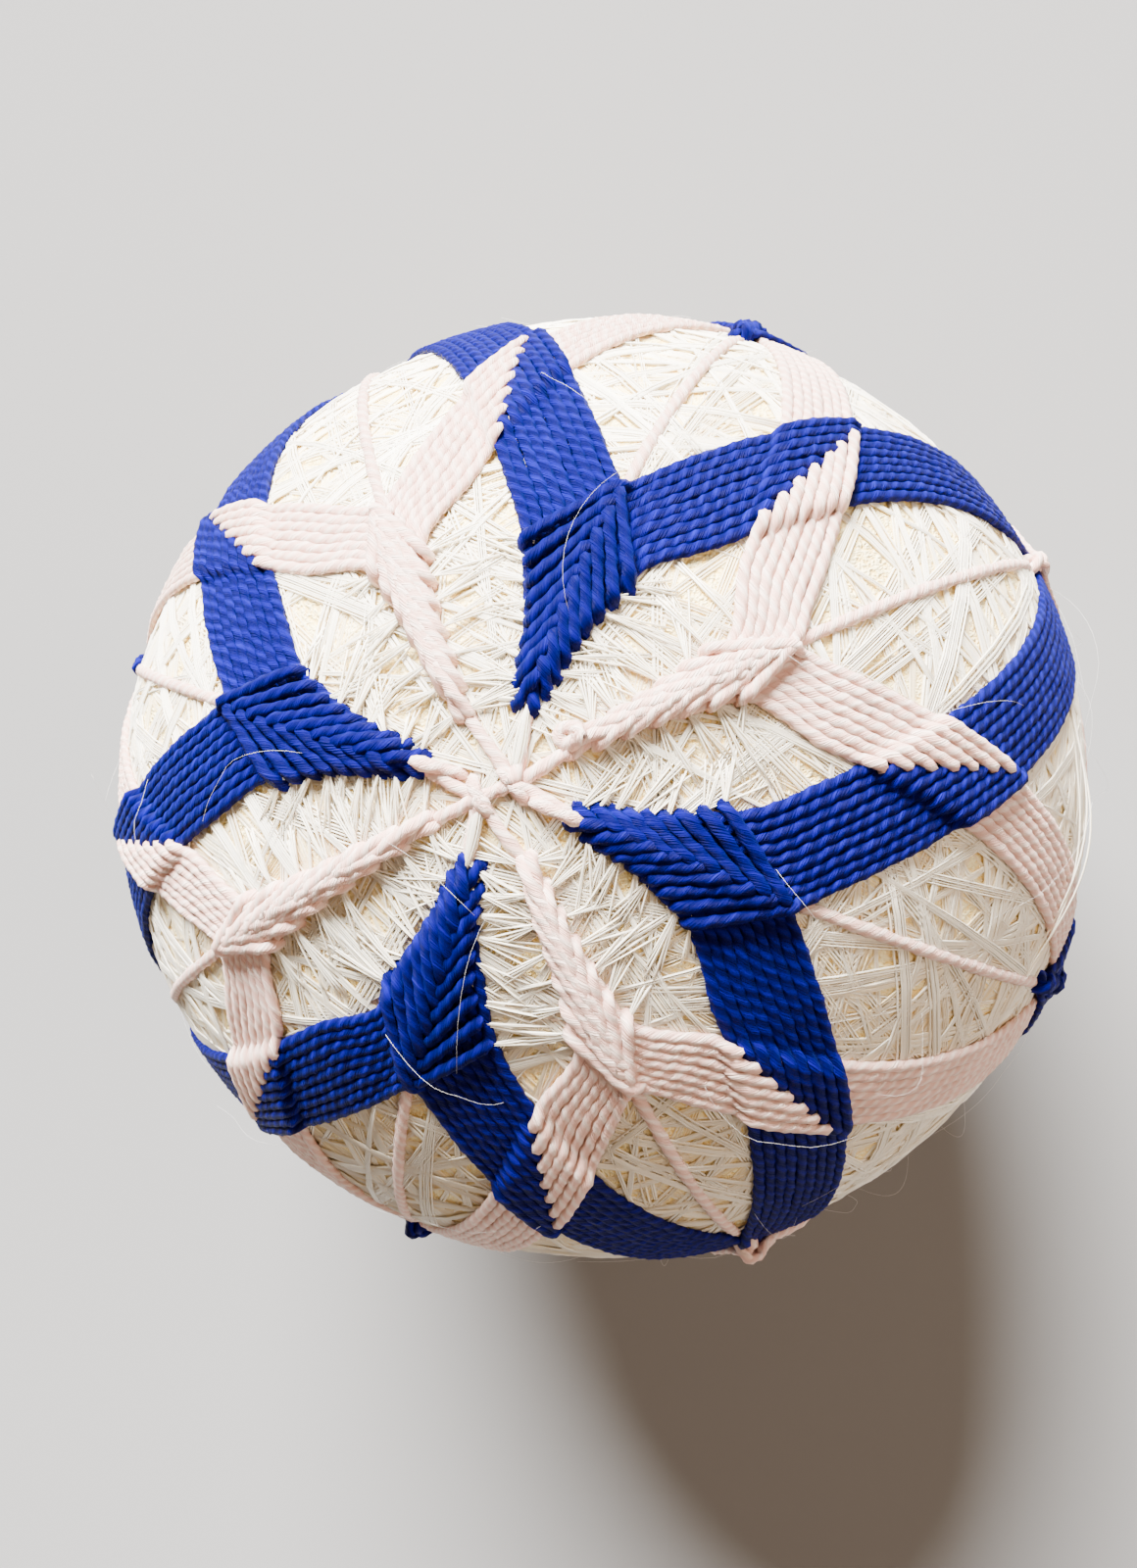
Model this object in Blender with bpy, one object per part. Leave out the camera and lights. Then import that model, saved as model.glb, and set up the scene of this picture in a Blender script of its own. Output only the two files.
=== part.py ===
"""Temari ball: a hand-wound ball with four stitched stars, in metres, +Z up.

The ball stands on the small flat spot under its lower pole, and the origin is
the centre of that spot. Eight guide lines run from pole to pole. Around each
pole lie two stars of laid thread, a blue one and a pale one. A star is one
closed zigzag band: it starts near the pole on every second line, splits into
two legs, and each pair of legs meets again beyond the ball's equator on the
lines between. A later star passes over an earlier one where they cross.
"""

import math

import bmesh
import bpy
from mathutils import Vector

MM = 0.001

# The wound core.
CORE_RADIUS = 39.0 * MM
CENTRE_HEIGHT = 39.0 * MM
OVAL = 0.012  # how much wider the ball is along X than along Y, as a share of its radius
CORE_SEGMENTS = 45
CORE_RINGS = 24
PRESSED_CORE = 1.7 * MM  # height of the pressed underside of the core
PRESSED_BAND = 0.85 * MM  # and of the inner face of a band
KNOT_SPREAD = 1.0 * MM  # how far inside the lowest ring of the core the knot of guide lines starts
KNOT_SLOPE = 1.4 * MM  # how much narrower it is where it touches the ground

# The bands of laid thread.
THREAD_PITCH = 0.77 * MM
BAND_THICKNESS = 0.8 * MM
BRAID_THICKNESS = 1.5 * MM
GAP = 0.35 * MM
CLIMB_START = 7.0 * MM  # a crossing band starts to climb this far from the band under it
CLIMB_END = 3.2 * MM  # and is at full height this far from it
CLIMB = 1.3 * MM  # how far it climbs
POINTS_ACROSS = 4
LEG_STATIONS = 15  # cross-sections on each leg, the one at its outer tip not counted
BRAID_STATIONS = 4  # of which on the braided stretch
TIP_WIDTH_SHARE = 0.12  # the braid's half-width at its tip, as a share of that at the split

# Guide lines, counter-clockwise seen from above: azimuth in degrees, then for each half of
# the ball the distance from the pole at which the first row of the star that starts on this
# line crosses it, in millimetres, and the angle from the pole at which the first row of the
# star that ends on this line meets it, in degrees.
LINES = (
    # azimuth, upper start, upper end, lower start, lower end
    (26.4, 12.6, 84.0, 10.0, 86.0),
    (69.8, 9.4, 79.6, 13.4, 85.5),
    (116.7, 13.6, 86.5, 10.4, 82.0),
    (164.8, 10.1, 78.4, 14.0, 86.0),
    (207.6, 17.2, 81.6, 9.8, 84.0),
    (248.9, 10.5, 77.2, 13.6, 87.0),
    (290.8, 13.5, 70.0, 10.2, 95.0),
    (337.4, 9.8, 81.8, 13.2, 84.0),
)
AZIMUTH, UPPER_START, UPPER_END, LOWER_START, LOWER_END = range(5)

# The stars, in the order in which they are stitched.
STARS = (
    # name, upper half, first line, rows, bend in degrees, tip in mm, braid half-width in mm, material
    ("blue_star_upper", True, 1, 9, 19.0, 5.4, 4.2, "blue_thread"),
    ("pale_star_upper", True, 0, 7, 18.0, 5.4, 2.9, "pale_thread"),
    ("blue_star_lower", False, 0, 9, 19.0, 5.4, 4.2, "blue_thread"),
    ("pale_star_lower", False, 1, 7, 18.0, 5.4, 2.9, "pale_thread"),
)
# From the split of the braid to the place where the last row crosses the line.
SPLIT_BACK = {"blue_thread": 5.6 * MM, "pale_thread": 4.2 * MM}

COLOURS = {
    # name: red, green, blue, roughness
    "wound_thread": (0.86, 0.80, 0.66, 0.62),
    "blue_thread": (0.012, 0.040, 0.42, 0.55),
    "pale_thread": (0.87, 0.74, 0.68, 0.55),
}


def material(name):
    """A plain thread material of the named colour."""
    red, green, blue, roughness = COLOURS[name]
    made = bpy.data.materials.new(name)
    made.use_nodes = True
    shader = made.node_tree.nodes["Principled BSDF"]
    shader.inputs["Base Color"].default_value = (red, green, blue, 1.0)
    shader.inputs["Roughness"].default_value = roughness
    shader.inputs["Metallic"].default_value = 0.0
    made.diffuse_color = (red, green, blue, 1.0)
    return made


def direction(from_pole, azimuth):
    """The unit vector at that angle from the upper pole, both in radians."""
    level = math.sin(from_pole)
    return Vector((level * math.cos(azimuth), level * math.sin(azimuth), math.cos(from_pole)))


def core_radius(way):
    """The core's radius in the direction of a unit vector: the ball is slightly oval."""
    return CORE_RADIUS * (1.0 + OVAL * (way.x**2 - way.y**2))


def pressed(way, radius, lowest):
    """The point at that radius, or where the ray meets the level to which the ball is pressed."""
    if way.z < 0.0:
        radius = min(radius, (CENTRE_HEIGHT - lowest) / -way.z)
    point = way * radius
    return Vector((point.x, point.y, max(point.z + CENTRE_HEIGHT, lowest)))


def smooth_step(value):
    value = min(max(value, 0.0), 1.0)
    return value * value * (3.0 - 2.0 * value)


class Star:
    """One zigzag band, worked out on the upper half of a unit sphere and mirrored for the lower."""

    def __init__(self, name, upper, first, rows, bend, tip, half_width, thread):
        self.name = name
        self.upper = upper
        self.rows = rows
        self.bend = math.radians(bend)
        self.tip = tip * MM
        self.half_width = half_width * MM
        self.thread = thread
        start_column, end_column = (UPPER_START, UPPER_END) if upper else (LOWER_START, LOWER_END)
        self.azimuth = [math.radians(line[AZIMUTH]) for line in LINES]
        self.start = [line[start_column] * MM / CORE_RADIUS for line in LINES]
        self.end = [math.radians(line[end_column]) for line in LINES]
        self.legs = []
        for inner in range(first, len(LINES), 2):
            for side in (-1, 1):
                self.legs.append((inner, (inner + side) % len(LINES), side))

    def axis(self, inner, outer):
        """The centre of the round arcs that a leg's rows follow, on the pole's side of the leg."""
        a = direction(self.start[inner], self.azimuth[inner])
        b = direction(self.end[outer], self.azimuth[outer])
        middle = (a + b).normalized()
        lean = math.acos(math.sin(self.bend) / math.cos(a.angle(b) / 2.0))
        sideways = a.cross(b).normalized()
        if sideways.z < 0.0:
            sideways.negate()
        return middle * math.cos(lean) + sideways * math.sin(lean)

    def reach(self, row):
        """How far a row lies from its leg's axis, in radians; row 0 is the one nearest the pole."""
        return math.pi / 2.0 - self.bend + row * THREAD_PITCH / CORE_RADIUS

    def crossing(self, axis, row, line):
        """The angle from the pole at which a row crosses a guide line."""
        azimuth = self.azimuth[line]
        across = axis.x * math.cos(azimuth) + axis.y * math.sin(azimuth)
        height = math.hypot(across, axis.z)
        return math.atan2(across, axis.z) + math.acos(math.cos(self.reach(row)) / height)

    def on_row(self, axis, row, start, end, share):
        """A point that share of the way along a row's arc, between two directions."""
        east = (start - axis * start.dot(axis)).normalized()
        north = axis.cross(east)
        sweep = math.atan2(end.dot(north), end.dot(east))
        turn = sweep * share
        reach = self.reach(row)
        return axis * math.cos(reach) + (east * math.cos(turn) + north * math.sin(turn)) * math.sin(reach)

    def edges(self, inner, outer, side):
        """The two edges of a leg from its inner to its outer line, as lists of directions."""
        axis = self.axis(inner, outer)
        near_row, far_row = -0.5, self.rows - 0.5
        ends = []
        for row in (near_row, far_row):
            start = direction(self.crossing(axis, row, inner), self.azimuth[inner])
            end = direction(self.crossing(axis, row, outer), self.azimuth[outer])
            ends.append((start, end))
        split = self.crossing(axis, far_row, inner) * CORE_RADIUS - SPLIT_BACK[self.thread]
        near, far = [], []
        for station in range(LEG_STATIONS + 1):
            if station <= BRAID_STATIONS:
                share = station / BRAID_STATIONS
                along = self.tip + (split - self.tip) * share
                wide = self.half_width * (TIP_WIDTH_SHARE * min(share * BRAID_STATIONS, 1.0) + share)
                wide /= 1.0 + TIP_WIDTH_SHARE
                turn = side * math.atan2(math.sin(wide / CORE_RADIUS), math.sin(along / CORE_RADIUS))
                near.append(direction(math.hypot(along, wide) / CORE_RADIUS, self.azimuth[inner] + turn))
                far.append(self.on_row(axis, far_row, *ends[1], 0.10 * share))
            else:
                share = (station - BRAID_STATIONS) / (LEG_STATIONS - BRAID_STATIONS)
                near.append(self.on_row(axis, near_row, *ends[0], 0.16 + 0.84 * share))
                far.append(self.on_row(axis, far_row, *ends[1], 0.10 + 0.90 * share))
        return near, far

    def stations(self):
        """The band's cross-sections in order round the pole: inner edge, outer edge, braid share."""
        ring = []
        for inner, outer, side in self.legs:
            near, far = self.edges(inner, outer, side)
            sections = []
            for index, pair in enumerate(zip(near, far)):
                braid = 1.0 - smooth_step((index - BRAID_STATIONS + 1.0) / 2.0)
                sections.append((*pair, braid))
            if side < 0:
                sections = sections[:0:-1]  # from the outer line up to, but not with, the inner one
            else:
                sections = sections[:-1]
            ring.extend(sections)
        return ring

    def placed(self, way):
        """A direction of the upper half as it lies on this star's half of the ball."""
        return way if self.upper else Vector((way.x, way.y, -way.z))

    def inside(self, way):
        """How far a direction lies inside the band, in metres, below zero outside it."""
        way = self.placed(way)
        best = -math.inf
        for inner, outer, side in self.legs:
            turn = math.atan2(way.y, way.x) - self.azimuth[inner]
            turn = (turn + math.pi) % math.tau - math.pi
            whole = (self.azimuth[outer] - self.azimuth[inner] + math.pi) % math.tau - math.pi
            if 0.0 <= turn / whole <= 1.0:
                gone = self.axis(inner, outer).angle(way)
                near = gone - self.reach(-0.5)
                far = self.reach(self.rows - 0.5) - gone
                best = max(best, min(near, far) * CORE_RADIUS)
        return best


def level(way, under):
    """How far a band is lifted at a direction by the bands already on the ball."""
    lift = 0.0
    for star in under:
        outside = -star.inside(way)
        share = smooth_step((CLIMB_START - outside) / (CLIMB_START - CLIMB_END))
        lift += share * CLIMB
    return lift


def star_band(star, under, home):
    """A closed band, made from a torus whose every ring is moved to one cross-section."""
    ring = star.stations()
    around = 2 * POINTS_ACROSS
    bpy.ops.mesh.primitive_torus_add(major_segments=len(ring), minor_segments=around)
    band = bpy.context.object
    band.name = star.name
    band.data.name = star.name
    shape = bmesh.new()
    shape.from_mesh(band.data)
    shape.verts.ensure_lookup_table()
    for station, (near, far, braid) in enumerate(ring):
        thickness = BAND_THICKNESS + braid * (BRAID_THICKNESS - BAND_THICKNESS)
        for step in range(around):
            outer_face = step >= POINTS_ACROSS
            column = around - 1 - step if outer_face else step
            way = near.lerp(far, column / (POINTS_ACROSS - 1)).normalized()
            way = star.placed(way)
            radius = core_radius(way) + GAP + level(way, under)
            lowest = PRESSED_BAND
            if outer_face:
                radius += thickness
                lowest = 0.0
            shape.verts[station * around + step].co = pressed(way, radius, lowest)
    if shape.calc_volume(signed=True) < 0.0:
        bmesh.ops.reverse_faces(shape, faces=shape.faces)
    shape.to_mesh(band.data)
    shape.free()
    finish(band, star.thread, home)
    return band


def wound_core(home):
    """The ball under the stitching: a slightly oval sphere, pressed flat where it stands."""
    bpy.ops.mesh.primitive_uv_sphere_add(segments=CORE_SEGMENTS, ring_count=CORE_RINGS)
    core = bpy.context.object
    core.name = "wound_core"
    core.data.name = "wound_core"
    shape = bmesh.new()
    shape.from_mesh(core.data)
    for vertex in shape.verts:
        way = vertex.co.normalized()
        vertex.co = pressed(way, core_radius(way), PRESSED_CORE)
    pole = min(shape.verts, key=lambda vertex: math.hypot(vertex.co.x, vertex.co.y) + vertex.co.z)
    knot = list(pole.link_faces)
    bmesh.ops.inset_region(shape, faces=knot, thickness=KNOT_SPREAD)
    bmesh.ops.inset_region(shape, faces=knot, thickness=KNOT_SLOPE, depth=PRESSED_CORE)
    for vertex in {vertex for face in knot for vertex in face.verts}:
        vertex.co.z = 0.0
    shape.to_mesh(core.data)
    shape.free()
    finish(core, "wound_thread", home)
    return core


def finish(piece, thread, home):
    """Shades a piece smooth, gives it its material and puts it in the ball's collection."""
    piece.location = (0.0, 0.0, 0.0)
    piece.data.materials.clear()
    piece.data.materials.append(bpy.data.materials.get(thread) or material(thread))
    piece.data.shade_smooth()
    piece.data.set_sharp_from_angle(angle=math.radians(40.0))
    for other in list(piece.users_collection):
        other.objects.unlink(piece)
    home.objects.link(piece)


def main():
    for thing in list(bpy.data.objects):
        bpy.data.objects.remove(thing, do_unlink=True)
    home = bpy.data.collections.new("temari_ball")
    bpy.context.scene.collection.children.link(home)
    wound_core(home)
    stitched = []
    for row in STARS:
        star = Star(*row)
        star_band(star, stitched, home)
        stitched.append(star)


main()
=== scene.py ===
# %% [markdown]
# This lesson dresses a temari: a ball wound from fine thread, with stars stitched round both of
# its poles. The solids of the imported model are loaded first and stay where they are. Their
# boxes set the size of the ball, and the threads made here stand for them in the picture. A
# ball that is all thread could be one sphere with a picture of thread on it, but then its edge
# would be smooth and no thread would cast a shadow. So every thread here is swept along its own
# path, in the order in which it was wound or stitched.

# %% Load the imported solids
import math

import bmesh
import bpy
import numpy as np
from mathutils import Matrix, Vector


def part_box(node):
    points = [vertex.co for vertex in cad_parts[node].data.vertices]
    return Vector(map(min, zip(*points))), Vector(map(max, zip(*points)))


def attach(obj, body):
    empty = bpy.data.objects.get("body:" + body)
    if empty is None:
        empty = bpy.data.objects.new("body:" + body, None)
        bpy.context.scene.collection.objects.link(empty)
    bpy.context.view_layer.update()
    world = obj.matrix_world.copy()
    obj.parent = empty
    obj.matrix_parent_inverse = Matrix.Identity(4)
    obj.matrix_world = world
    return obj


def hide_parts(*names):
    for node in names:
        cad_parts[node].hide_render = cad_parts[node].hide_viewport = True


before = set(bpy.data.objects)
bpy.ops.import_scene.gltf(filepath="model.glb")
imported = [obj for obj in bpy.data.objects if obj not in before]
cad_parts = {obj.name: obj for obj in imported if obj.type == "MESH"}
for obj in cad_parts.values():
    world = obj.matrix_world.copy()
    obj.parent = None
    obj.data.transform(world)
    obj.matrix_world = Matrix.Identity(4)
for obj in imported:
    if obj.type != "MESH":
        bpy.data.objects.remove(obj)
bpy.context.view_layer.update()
core_low, core_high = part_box("wound_core")
MM = 0.001
R = (core_high[2] - core_low[2]) / MM / 2.0
print("core radius", round(R, 2), "mm; solids", sorted(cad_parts))

# %% [markdown]
# Lengths are millimetres here and become metres only when a mesh is made. A place on the ball
# is a unit vector from its centre, and how high a thread lies above the wound surface is a
# second number. Keeping the two apart makes it simple to lay one thread over another. The ball
# is slightly oval, as hand-wound balls are, and its own weight presses its lowest threads flat.

# %% Places on the ball
SEED = 8
OVAL = 0.012
PRESS_FROM = 3.0
PRESS_LOWEST = -1.3
rng = np.random.default_rng(SEED)
CENTRE = np.array([0.0, 0.0, R])


def unit(vectors):
    return vectors / np.linalg.norm(vectors, axis=-1, keepdims=True)


def on_ball(from_pole, azimuth):
    """Unit vectors at an angle from the upper pole and at an azimuth."""
    from_pole, azimuth = np.broadcast_arrays(from_pole, azimuth)
    level = np.sin(from_pole)
    return np.stack([level * np.cos(azimuth), level * np.sin(azimuth), np.cos(from_pole)], axis=-1)


def near_pole(x, y):
    """Unit vectors above a flat drawing of the pole, in mm."""
    return unit(np.stack([x, y, np.full(np.shape(x), R)], axis=-1))


def lifted(ways, height):
    """Points at a height above the wound surface."""
    radius = R * (1.0 + OVAL * (ways[..., 0] ** 2 - ways[..., 1] ** 2)) + height
    return ways * radius[..., None] + CENTRE


def rested(points):
    """The same points with the lowest ones pressed into a small flat spot."""
    points = points.copy()
    z = points[..., 2]
    low = z < PRESS_FROM
    z[low] = (z[low] - PRESS_LOWEST) * PRESS_FROM / (PRESS_FROM - PRESS_LOWEST)
    points[..., 2] = np.maximum(z, 0.0)
    return points


print("pressed below", PRESS_FROM, "mm; oval by", round(2.0 * R * OVAL, 2), "mm")

# %% [markdown]
# Before stitching, a maker divides the ball with guide threads: eight lines from pole to pole,
# measured by eye, so they are never quite even. Every star has its inner stitches on four of
# the lines and its outer stitches on the other four. The first table gives each line's azimuth
# and where the first rows of the stars cross it: near the pole in millimetres, and far from it
# in degrees. The second table gives what a star's stitches measure.

# %% The guide lines and the four stars
LINES = (
    # azimuth, upper star begins, upper star ends, lower star begins, lower star ends
    (26.4, 12.6, 84.0, 10.0, 86.0),
    (69.8, 9.4, 79.6, 13.4, 89.0),
    (116.7, 13.6, 86.5, 10.4, 82.0),
    (164.8, 10.1, 78.4, 14.0, 86.0),
    (207.6, 17.2, 81.6, 9.8, 84.0),
    (248.9, 10.5, 77.2, 13.6, 83.5),
    (290.8, 13.5, 70.0, 10.2, 95.0),
    (337.4, 9.8, 81.8, 13.2, 88.0),
)
AZIMUTH = np.radians([line[0] for line in LINES])
PITCH = 0.77
ROW_UNEVEN = 0.03
STARS = {
    # name: upper half, first line, rows, bend in degrees, first stitch from the pole, its
    # half-width, how far the last stitch lies before the last crossing, its half-width
    "blue_upper": (True, 1, 9, 19.0, 5.3, 0.5, 5.7, 3.7),
    "pale_upper": (True, 0, 7, 18.0, 5.1, 0.3, 4.3, 1.8),
    "blue_lower": (False, 0, 9, 19.0, 5.3, 0.5, 5.7, 3.7),
    "pale_lower": (False, 1, 7, 18.0, 5.1, 0.3, 4.3, 1.8),
}
ROWS = max(star[2] for star in STARS.values())
# Some braids are pulled to one side: the share of the half-width on their clockwise side.
LEAN = {1: 0.84, 3: 0.95, 5: 0.78, 7: 0.9}
print(len(LINES), "guide lines,", len(STARS), "stars of up to", ROWS, "rows")

# %% [markdown]
# A row of a star is one thread that zigzags once round the pole. Between two stitches it lies
# almost straight on the ball, but each row is pushed outwards by the row before, so all bow a
# little. One way would be to draw every row by hand. Round arcs are simpler: the rows of one leg
# are circles about a common axis, each one thread further out, which keeps them side by side.

# %% The arcs of a leg
class Star:
    def __init__(self, name):
        (self.upper, first, self.rows, bend, self.tip, self.tip_width,
         self.split_back, self.split_width) = STARS[name]
        self.name = name
        self.inner_lines = range(first, len(LINES), 2)
        self.bend = math.radians(bend)
        start, end = (1, 2) if self.upper else (3, 4)
        self.start = [line[start] / R for line in LINES]
        self.end = [math.radians(line[end]) for line in LINES]
        self.jitter = rng.normal(0.0, ROW_UNEVEN, (len(LINES), 2, self.rows))


def leg_axis(star, inner, outer):
    """The axis about which the rows of one leg are arcs."""
    begin = on_ball(star.start[inner], AZIMUTH[inner])
    finish = on_ball(star.end[outer], AZIMUTH[outer])
    half = math.acos(float(begin @ finish)) / 2.0
    lean = math.acos(math.sin(star.bend) / math.cos(half))
    side = unit(np.cross(begin, finish))
    side *= np.sign(side[2])
    return unit(begin + finish) * math.cos(lean) + side * math.sin(lean)


def arc_angle(star, row):
    """The angle between the axis and a row."""
    return math.pi / 2.0 - star.bend + row * PITCH / R


def crossing(star, axis, row, line):
    """The angle from the pole at which a row crosses a guide line."""
    across = axis[0] * math.cos(AZIMUTH[line]) + axis[1] * math.sin(AZIMUTH[line])
    height = math.hypot(across, axis[2])
    return math.atan2(across, axis[2]) + math.acos(math.cos(arc_angle(star, row)) / height)


def beside(line, along, aside):
    """A point so far along a guide line from the pole, and so far counter-clockwise of it."""
    return on_ball(math.hypot(along, aside) / R, AZIMUTH[line] + math.atan2(aside, along))


print("rows lie", PITCH, "mm apart, so the widest band is", round(ROWS * PITCH, 1), "mm")

# %% [markdown]
# At the inner stitch the thread comes up on one side of the guide line, crosses over it, and
# only then bends into its arc. Each later row starts further from the pole and wider, and the
# crossings pile up as a braid. So one thread is made of three stretches: straight from the
# stitch to the edge of the braid, an easy curve into the arc, and the arc itself, which ends
# just past the outer guide line. Only the outer end is a small nip of the surface.

# %% From stitch to stitch
ARC_POINTS = 400
STRETCH_POINTS = 60
PAST_LINE = 0.45
BRAID_EDGE = 0.4
EASE_LEAST, EASE_MORE = 4.0, 3.0
ARC_KEPT = 20
# How a braid widens from its first row to its last: parts of the whole, each with its power.
WIDEN_SOON, SOON_POWER = 0.3, 0.4
WIDEN_LATE, LATE_POWER = 0.7, 3
t = np.linspace(0.0, 1.0, STRETCH_POINTS)[:, None]
EASE = (2 * t**3 - 3 * t**2 + 1, t**3 - 2 * t**2 + t, 3 * t**2 - 2 * t**3, t**3 - t**2)
STRAIGHT = t[:-1]


def arc(axis, angle, begin, finish):
    """A round arc about an axis, from one guide line to a little past the other."""
    east = unit(begin - axis * (begin @ axis))
    north = np.cross(axis, east)
    sweep = math.atan2(finish @ north, finish @ east)
    past = math.copysign(PAST_LINE / (R * math.sin(angle)), sweep)
    turn = np.linspace(0.0, sweep + past, ARC_POINTS)[:, None]
    ring = east * np.cos(turn) + north * np.sin(turn)
    return axis * math.cos(angle) + ring * math.sin(angle)


def leg(star, row, inner, side):
    """One thread from an inner stitch outwards, and the place its stitch dives towards."""
    outer = (inner + side) % len(LINES)
    axis = leg_axis(star, inner, outer)
    shift = row + star.jitter[inner, (side + 1) // 2, row]
    begin = on_ball(crossing(star, axis, shift, inner), AZIMUTH[inner])
    finish = on_ball(crossing(star, axis, shift, outer), AZIMUTH[outer])
    far = arc(axis, arc_angle(star, shift), begin, finish)

    share = row / (star.rows - 1)
    split = crossing(star, axis, star.rows - 1, inner) * R - star.split_back
    lean = LEAN.get(inner, 1.0) if star.upper else 1.0
    here, there = (lean, 2.0 - lean) if side > 0 else (2.0 - lean, lean)
    widening = WIDEN_SOON * share ** SOON_POWER + WIDEN_LATE * share ** LATE_POWER
    wide = star.tip_width + (star.split_width - star.tip_width) * widening
    along = star.tip + (split - star.tip) * share
    stitch = beside(inner, along, -side * wide * here)
    beyond = beside(inner, along, side * wide * there)
    edge = (star.split_width * there - BRAID_EDGE) * (1.0 - share)
    gate = beside(inner, split + star.split_back * share, side * edge)

    gap = np.linalg.norm(far[1] - far[0]) * R
    nearest = int(np.argmax(far @ gate))
    eased = int((EASE_LEAST + EASE_MORE * (1.0 - share)) / gap)
    join = min(nearest + eased, ARC_POINTS - ARC_KEPT)
    span = np.linalg.norm(far[join] - gate)
    heading = unit(gate - stitch) * span
    meeting = unit(far[join + 1] - far[join]) * span
    bridge = EASE[0] * gate + EASE[1] * heading + EASE[2] * far[join] + EASE[3] * meeting
    start = stitch + (gate - stitch) * STRAIGHT
    return unit(np.concatenate([start, bridge[:-1], far[join:]])), beyond


def row_of_legs(star, row):
    """The legs of one row in stitching order, each in its direction of travel."""
    for inner in star.inner_lines:
        path, beyond = leg(star, row, inner, 1)
        yield path, (beyond, None)
        path, beyond = leg(star, row, (inner + 2) % len(LINES), -1)
        yield path[::-1], (None, beyond)


def even(path, step):
    """The same path with evenly spaced points."""
    gaps = np.linalg.norm(np.diff(path, axis=0), axis=1) * R
    along = np.concatenate([[0.0], np.cumsum(gaps)])
    count = max(int(round(along[-1] / step)), 2)
    want = np.linspace(0.0, along[-1], count + 1)
    return unit(np.stack([np.interp(want, along, path[:, k]) for k in range(3)], axis=1))


print("each row has", len(LINES), "legs")

# %% [markdown]
# Which thread lies on top is decided by the order of stitching. A cloth simulation could find
# out how the threads settle, but it would be slow and hard to steer. Two maps do it simply, one
# round each pole: before a thread is laid, the map says what it has to climb over, and then the
# thread's own top is marked on the map for the ones that follow. The maps have layers, so that
# a thread can treat its own half's threads and the threads of an earlier half in different ways.

# %% Two maps of what already lies on the ball
CELL = 0.2
REACH = math.radians(112.0)
MARGIN = 0.04
# The flat map is drawn out round the ball, most of all at its rim.
RIM_STRETCH = 2.1


class Map:
    def __init__(self, upper):
        self.sign = 1.0 if upper else -1.0
        self.half = int(R * REACH / CELL)
        count = np.arange(-self.half, self.half + 1) * CELL
        u, v = np.meshgrid(count, count, indexing="ij")
        self.ways = on_ball(np.hypot(u, v) / R, np.arctan2(v, u)).astype(np.float32)
        self.ways[..., 2] *= self.sign
        self.layers = {}

    def cells(self, ways):
        from_pole = np.arccos(np.clip(ways[..., 2] * self.sign, -1.0, 1.0))
        azimuth = np.arctan2(ways[..., 1], ways[..., 0])
        u = np.rint(R * from_pole * np.cos(azimuth) / CELL).astype(int) + self.half
        v = np.rint(R * from_pole * np.sin(azimuth) / CELL).astype(int) + self.half
        return u, v, from_pole < REACH - MARGIN

    def layer(self, group):
        return self.layers.setdefault(group, np.zeros(self.ways.shape[:2], dtype=np.float32))

    def read(self, ways, group):
        u, v, near = self.cells(ways)
        values = np.zeros(len(ways))
        values[near] = self.layer(group)[u[near], v[near]]
        return values

    def mark(self, ways, tops, group, radius):
        u, v, near = self.cells(ways)
        layer = self.layer(group)
        reach = int(math.ceil(radius * RIM_STRETCH / CELL))
        u, v, ways, tops = u[near], v[near], ways[near], tops[near]
        for du in range(-reach, reach + 1):
            for dv in range(-reach, reach + 1):
                cu = np.clip(u + du, 0, 2 * self.half)
                cv = np.clip(v + dv, 0, 2 * self.half)
                hit = np.linalg.norm(self.ways[cu, cv] - ways, axis=1) * R <= radius
                layer[cu[hit], cv[hit]] = np.maximum(layer[cu[hit], cv[hit]], tops[hit])


MAPS = (Map(True), Map(False))
print("two maps of", MAPS[0].ways.shape[0], "cells each way")


# %% Read and mark both maps
def read(ways, group):
    return np.where(ways[:, 2] >= 0.0, MAPS[0].read(ways, group), MAPS[1].read(ways, group))


def read_stars(ways):
    return np.maximum(read(ways, "upper"), read(ways, "lower"))


def mark(ways, tops, group, radius):
    for half in MAPS:
        half.mark(ways, tops, group, radius)


def windows(values, reach):
    padded = np.pad(values, reach, mode="edge")
    return np.lib.stride_tricks.sliding_window_view(padded, 2 * reach + 1)


def widest(values, reach):
    """The highest value within reach places each way."""
    return np.max(windows(values, reach), axis=1)


def softened(values, reach):
    """The running mean, taken twice."""
    return np.mean(windows(np.mean(windows(values, reach), axis=1), reach), axis=1)


print("a step of 1 widens to", softened(np.array([0.0, 0.0, 1.0, 0.0, 0.0]), 1).round(2))

# %% [markdown]
# A thread climbs a little before it meets another one and comes down a little after it, because
# it is stiff. So the heights read from the map are widened and then softened. Both ends of a
# stitch dive into the ball: the last points go below the surface, where the needle went in.
# Round the widest part of the ball the threads are drawn in more, so they climb less there.

# %% Lay one thread over what is there
FINE = 0.1
STEP = 0.42
HALF_HEIGHT = 0.30
CLIMB = 0.46
CLIMB_EACH_ROW = 0.045
MARK_RADIUS = 0.33
# How many fine places ahead a thread climbs, and over how many its climb is softened: first
# over what lay there before, then over threads of its own half.
AHEAD, SOFT = 7, 6
OWN_AHEAD, OWN_SOFT = 1, 2
DRAWN_BAND = 24.0
DRAWN_WHOLE = 8.0
DRAWN_CLIMB, DRAWN_HEIGHT = 0.35, 0.2
DIVE = (-0.6, -0.12)
DIVE_FROM, DIP = 0.62, 0.94
NIP = ((0.60, 0.0), (0.56, 0.0), (0.34, 0.0))
TUCK = ((0.26, 0.16), (0.34, 0.04), (0.22, 0.0))


def sideways(ways):
    return unit(np.cross(ways, np.gradient(ways, axis=0)))


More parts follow.
